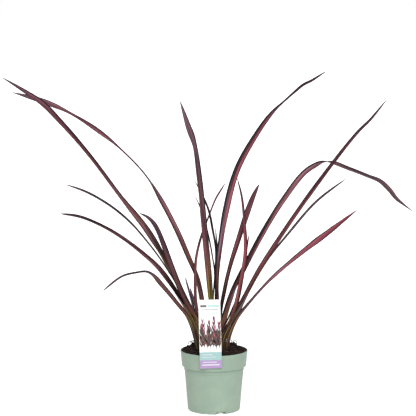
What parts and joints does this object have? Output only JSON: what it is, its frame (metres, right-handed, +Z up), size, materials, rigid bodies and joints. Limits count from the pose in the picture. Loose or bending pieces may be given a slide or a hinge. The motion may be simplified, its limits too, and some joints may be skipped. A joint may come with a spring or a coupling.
{
  "type": "potted new zealand flax",
  "caption": "Strap-leaved New Zealand flax in a round nursery pot of soil, with a care label hooked over the rim; stands on a flat surface as an indoor or patio plant.",
  "frame": {"origin": "centre of the underside of the pot's foot, on the plane that the pot stands on", "axes": "+Z up along the pot's axis, +X to the right along the spread of the leaves, -Y towards the front where the label hangs"},
  "size_m": [0.8555, 0.3628, 0.7069],
  "materials": {
    "pot": "fine matt moulded plastic in pale sage green",
    "soil": "moist dark potting mix of fine bark and fibre",
    "label": "thin printed plastic card, satin, white with pale mint and lilac bands",
    "leaf": "waxy ribbed strap leaf, pink and maroon with near-black margins"
  },
  "bodies": {
    "root": {"pot": "pot", "soil": "soil", "label": "label", "left_leaf_1": "leaf", "left_leaf_2": "leaf", "left_leaf_3": "leaf", "left_leaf_4": "leaf", "left_leaf_5": "leaf", "left_leaf_6": "leaf", "left_leaf_7": "leaf", "left_leaf_8": "leaf", "centre_leaf_1": "leaf", "centre_leaf_2": "leaf", "centre_leaf_3": "leaf", "centre_leaf_4": "leaf", "centre_leaf_5": "leaf", "centre_leaf_6": "leaf", "centre_leaf_7": "leaf", "centre_leaf_8": "leaf", "right_leaf_1": "leaf", "right_leaf_2": "leaf", "right_leaf_3": "leaf", "right_leaf_4": "leaf", "right_leaf_5": "leaf"}
  },
  "joints": []
}
